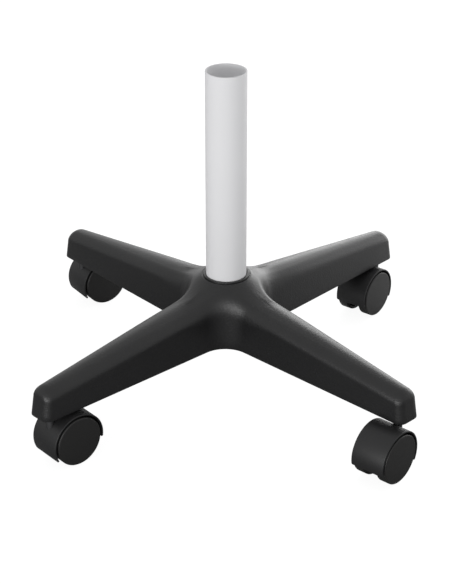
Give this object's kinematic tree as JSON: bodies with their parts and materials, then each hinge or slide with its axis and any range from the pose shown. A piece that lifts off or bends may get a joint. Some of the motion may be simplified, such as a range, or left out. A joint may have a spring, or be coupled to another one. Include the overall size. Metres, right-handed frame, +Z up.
{
  "type": "rolling column stand base",
  "caption": "Wheeled floor stand of a salon hood hair dryer: a moulded cross-shaped base with hooded twin-wheel castors and an upright tube for the column.",
  "frame": {"origin": "on the floor under the axis of the column, midway between opposite legs", "axes": "+Z is up along the column; the legs point along +X, +Y, -X and -Y"},
  "size_m": [0.5097, 0.497, 0.34],
  "materials": {
    "base_moulding": "black, fine moulded grain, satin-matte",
    "hood_moulding": "black, smooth satin",
    "wheel_moulding": "black, smooth, slightly domed faces",
    "sleeve_nylon": "dark nylon",
    "column_coat": "pale grey-white coat on steel tube",
    "blacked_steel": "blackened steel",
    "zinc_steel": "bright zinc plating",
    "spring_steel": "plain spring steel"
  },
  "bodies": {
    "stand": {"base": "base_moulding", "column_tube": "column_coat", "column_plug": "zinc_steel", "flat_washer": "zinc_steel", "lock_washer": "spring_steel", "clamp_bolt": "zinc_steel", "castor_1_sleeve": "sleeve_nylon", "castor_1_stem": "blacked_steel", "castor_1_grip_ring": "spring_steel", "castor_1_stem_clip": "spring_steel", "castor_2_sleeve": "sleeve_nylon", "castor_2_stem": "blacked_steel", "castor_2_grip_ring": "spring_steel", "castor_2_stem_clip": "spring_steel", "castor_3_sleeve": "sleeve_nylon", "castor_3_stem": "blacked_steel", "castor_3_grip_ring": "spring_steel", "castor_3_stem_clip": "spring_steel", "castor_4_sleeve": "sleeve_nylon", "castor_4_stem": "blacked_steel", "castor_4_grip_ring": "spring_steel", "castor_4_stem_clip": "spring_steel"},
    "castor_1_swivel": {"castor_1_hood": "hood_moulding", "castor_1_axle": "zinc_steel"},
    "castor_1_right_roller": {"castor_1_wheel_right": "wheel_moulding"},
    "castor_1_left_roller": {"castor_1_wheel_left": "wheel_moulding"},
    "castor_2_swivel": {"castor_2_hood": "hood_moulding", "castor_2_axle": "zinc_steel"},
    "castor_2_right_roller": {"castor_2_wheel_right": "wheel_moulding"},
    "castor_2_left_roller": {"castor_2_wheel_left": "wheel_moulding"},
    "castor_3_swivel": {"castor_3_hood": "hood_moulding", "castor_3_axle": "zinc_steel"},
    "castor_3_right_roller": {"castor_3_wheel_right": "wheel_moulding"},
    "castor_3_left_roller": {"castor_3_wheel_left": "wheel_moulding"},
    "castor_4_swivel": {"castor_4_hood": "hood_moulding", "castor_4_axle": "zinc_steel"},
    "castor_4_right_roller": {"castor_4_wheel_right": "wheel_moulding"},
    "castor_4_left_roller": {"castor_4_wheel_left": "wheel_moulding"}
  },
  "joints": [
    {"name": "castor_1_swivel_turn", "type": "hinge", "parent": "stand", "child": "castor_1_swivel", "pos_m": [0.2335, 0, 0.025], "axis": [0, 0, 1], "continuous": true},
    {"name": "castor_1_right_roll", "type": "hinge", "parent": "castor_1_swivel", "child": "castor_1_right_roller", "pos_m": [0.23542, -0.01991, 0.025], "axis": [-0.9954, -0.0958, 0], "continuous": true},
    {"name": "castor_1_left_roll", "type": "hinge", "parent": "castor_1_swivel", "child": "castor_1_left_roller", "pos_m": [0.23542, -0.01991, 0.025], "axis": [-0.9954, -0.0958, 0], "continuous": true},
    {"name": "castor_2_swivel_turn", "type": "hinge", "parent": "stand", "child": "castor_2_swivel", "pos_m": [0, 0.2335, 0.025], "axis": [0, 0, 1], "continuous": true},
    {"name": "castor_2_right_roll", "type": "hinge", "parent": "castor_2_swivel", "child": "castor_2_right_roller", "pos_m": [0.00302, 0.21373, 0.025], "axis": [-0.9885, -0.1513, 0], "continuous": true},
    {"name": "castor_2_left_roll", "type": "hinge", "parent": "castor_2_swivel", "child": "castor_2_left_roller", "pos_m": [0.00302, 0.21373, 0.025], "axis": [-0.9885, -0.1513, 0], "continuous": true},
    {"name": "castor_3_swivel_turn", "type": "hinge", "parent": "stand", "child": "castor_3_swivel", "pos_m": [-0.2335, 0, 0.025], "axis": [0, 0, 1], "continuous": true},
    {"name": "castor_3_right_roll", "type": "hinge", "parent": "castor_3_swivel", "child": "castor_3_right_roller", "pos_m": [-0.23023, 0.01973, 0.025], "axis": [0.9866, -0.1633, 0], "continuous": true},
    {"name": "castor_3_left_roll", "type": "hinge", "parent": "castor_3_swivel", "child": "castor_3_left_roller", "pos_m": [-0.23023, 0.01973, 0.025], "axis": [0.9866, -0.1633, 0], "continuous": true},
    {"name": "castor_4_swivel_turn", "type": "hinge", "parent": "stand", "child": "castor_4_swivel", "pos_m": [0, -0.2335, 0.025], "axis": [0, 0, 1], "continuous": true},
    {"name": "castor_4_right_roll", "type": "hinge", "parent": "castor_4_swivel", "child": "castor_4_right_roller", "pos_m": [0.00105, -0.21353, 0.025], "axis": [0.9986, -0.0523, 0], "continuous": true},
    {"name": "castor_4_left_roll", "type": "hinge", "parent": "castor_4_swivel", "child": "castor_4_left_roller", "pos_m": [0.00105, -0.21353, 0.025], "axis": [0.9986, -0.0523, 0], "continuous": true}
  ]
}
